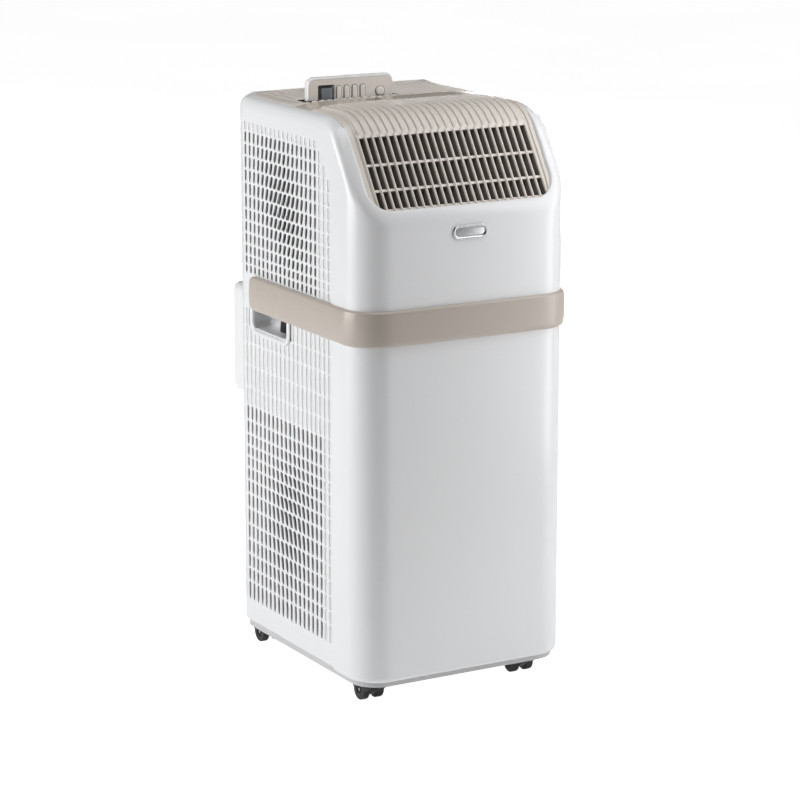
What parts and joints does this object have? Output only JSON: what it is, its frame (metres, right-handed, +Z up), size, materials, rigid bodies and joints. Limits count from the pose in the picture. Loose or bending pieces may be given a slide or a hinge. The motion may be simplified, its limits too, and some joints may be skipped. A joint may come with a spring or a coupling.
{
  "type": "portable air conditioner",
  "caption": "Compact wheeled portable air conditioner with a ribbed sloping outlet, belt band, hand grips, rear exhaust collar, intake filter and a remote control that lifts out of the top.",
  "frame": {"origin": "on the floor, under the middle of the overall box", "axes": "+Z up, the front faces -Y, +X to the right seen from the front"},
  "size_m": [0.298, 0.364, 0.727],
  "materials": {
    "body_white": "smooth glossy moulding",
    "trim_beige": "satin beige moulding",
    "smoked_gloss": "high gloss smoked beige",
    "black_plastic": "black nylon moulding",
    "grey_plastic": "mid grey moulding",
    "display_black": "dark display window",
    "lens_grey": "liquid crystal window",
    "key_white": "satin key caps",
    "wheel_black": "dark caster tread",
    "plug_rubber": "soft black rubber",
    "steel": "plain steel pin",
    "aluminium": "bare aluminium",
    "motor_metal": "painted motor can",
    "compressor_black": "black painted steel can",
    "copper": "bent copper tube",
    "fan_black": "moulded blower wheel"
  },
  "bodies": {
    "cabinet": {"lower_front_shell": "body_white", "upper_front_shell": "body_white", "side_panel_left": "body_white", "side_panel_right": "body_white", "rear_panel": "body_white", "exhaust_housing": "body_white", "base_pan": "body_white", "belt_band": "trim_beige", "top_grille": "trim_beige", "top_rear_cover": "trim_beige", "control_strip": "smoked_gloss", "remote_pocket": "black_plastic", "drain_spout": "black_plastic", "cord_gland": "black_plastic", "hand_grip_left": "grey_plastic", "hand_grip_right": "grey_plastic", "evaporator_scroll": "grey_plastic", "control_box": "grey_plastic", "partition_plate": "grey_plastic", "condenser_drum": "grey_plastic", "display_window": "display_black", "badge_plate": "aluminium", "evaporator_coil": "aluminium", "condenser_coil": "aluminium", "run_capacitor": "aluminium", "evaporator_motor": "motor_metal", "condenser_motor": "motor_metal", "compressor": "compressor_black", "discharge_pipe": "copper", "suction_pipe": "copper"},
    "remote": {"remote_back": "body_white", "remote_face": "trim_beige", "remote_lens": "lens_grey"},
    "key_mode": {"key_mode": "key_white"},
    "key_speed": {"key_speed": "key_white"},
    "key_up": {"key_up": "key_white"},
    "key_down": {"key_down": "key_white"},
    "key_power": {"key_power": "key_white"},
    "intake_filter": {"filter_frame": "body_white", "filter_sheet": "grey_plastic"},
    "exhaust_collar": {"exhaust_collar": "grey_plastic"},
    "drain_plug": {"drain_plug": "plug_rubber"},
    "evaporator_blower": {"evaporator_blower": "fan_black"},
    "condenser_blower": {"condenser_blower": "fan_black"},
    "caster_front_left": {"caster_front_left": "black_plastic"},
    "wheels_front_left": {"wheel_front_left_a": "wheel_black", "wheel_front_left_b": "wheel_black", "axle_front_left": "steel"},
    "caster_front_right": {"caster_front_right": "black_plastic"},
    "wheels_front_right": {"wheel_front_right_a": "wheel_black", "wheel_front_right_b": "wheel_black", "axle_front_right": "steel"},
    "caster_rear_left": {"caster_rear_left": "black_plastic"},
    "wheels_rear_left": {"wheel_rear_left_a": "wheel_black", "wheel_rear_left_b": "wheel_black", "axle_rear_left": "steel"},
    "caster_rear_right": {"caster_rear_right": "black_plastic"},
    "wheels_rear_right": {"wheel_rear_right_a": "wheel_black", "wheel_rear_right_b": "wheel_black", "axle_rear_right": "steel"}
  },
  "joints": [
    {"name": "remote_lift", "type": "slide", "parent": "cabinet", "child": "remote", "axis": [0, 0, 1], "range_m": [0, 0.12]},
    {"name": "press_key_mode", "type": "slide", "parent": "remote", "child": "key_mode", "axis": [0, 1, 0], "range_m": [0, 0.001], "stiffness_N_per_m": 300, "springref_m": -0.0005},
    {"name": "press_key_speed", "type": "slide", "parent": "remote", "child": "key_speed", "axis": [0, 1, 0], "range_m": [0, 0.001], "stiffness_N_per_m": 300, "springref_m": -0.0005},
    {"name": "press_key_up", "type": "slide", "parent": "remote", "child": "key_up", "axis": [0, 1, 0], "range_m": [0, 0.001], "stiffness_N_per_m": 300, "springref_m": -0.0005},
    {"name": "press_key_down", "type": "slide", "parent": "remote", "child": "key_down", "axis": [0, 1, 0], "range_m": [0, 0.001], "stiffness_N_per_m": 300, "springref_m": -0.0005},
    {"name": "press_key_power", "type": "slide", "parent": "remote", "child": "key_power", "axis": [0, 1, 0], "range_m": [0, 0.001], "stiffness_N_per_m": 300, "springref_m": -0.0005},
    {"name": "filter_pull", "type": "slide", "parent": "cabinet", "child": "intake_filter", "axis": [0, 1, 0], "range_m": [0, 0.06]},
    {"name": "collar_turn", "type": "hinge", "parent": "cabinet", "child": "exhaust_collar", "pos_m": [0, 0.182, 0.389], "axis": [0, 1, 0], "range_deg": [0, 30]},
    {"name": "drain_plug_pull", "type": "slide", "parent": "cabinet", "child": "drain_plug", "axis": [0, 1, 0], "range_m": [0, 0.04]},
    {"name": "spin_evaporator_blower", "type": "hinge", "parent": "cabinet", "child": "evaporator_blower", "pos_m": [0, -0.01, 0.56], "axis": [1, 0, 0], "continuous": true},
    {"name": "spin_condenser_blower", "type": "hinge", "parent": "cabinet", "child": "condenser_blower", "pos_m": [0, 0.035, 0.37], "axis": [0, 1, 0], "continuous": true},
    {"name": "swivel_front_left", "type": "hinge", "parent": "cabinet", "child": "caster_front_left", "pos_m": [-0.105, -0.13, 0.0275], "axis": [0, 0, 1], "continuous": true},
    {"name": "wheel_spin_front_left", "type": "hinge", "parent": "caster_front_left", "child": "wheels_front_left", "pos_m": [-0.105, -0.1225, 0.0125], "axis": [1, 0, 0], "continuous": true},
    {"name": "swivel_front_right", "type": "hinge", "parent": "cabinet", "child": "caster_front_right", "pos_m": [0.105, -0.13, 0.0275], "axis": [0, 0, 1], "continuous": true},
    {"name": "wheel_spin_front_right", "type": "hinge", "parent": "caster_front_right", "child": "wheels_front_right", "pos_m": [0.105, -0.1225, 0.0125], "axis": [1, 0, 0], "continuous": true},
    {"name": "swivel_rear_left", "type": "hinge", "parent": "cabinet", "child": "caster_rear_left", "pos_m": [-0.105, 0.13, 0.0275], "axis": [0, 0, 1], "continuous": true},
    {"name": "wheel_spin_rear_left", "type": "hinge", "parent": "caster_rear_left", "child": "wheels_rear_left", "pos_m": [-0.105, 0.1375, 0.0125], "axis": [1, 0, 0], "continuous": true},
    {"name": "swivel_rear_right", "type": "hinge", "parent": "cabinet", "child": "caster_rear_right", "pos_m": [0.105, 0.13, 0.0275], "axis": [0, 0, 1], "continuous": true},
    {"name": "wheel_spin_rear_right", "type": "hinge", "parent": "caster_rear_right", "child": "wheels_rear_right", "pos_m": [0.105, 0.1375, 0.0125], "axis": [1, 0, 0], "continuous": true}
  ]
}
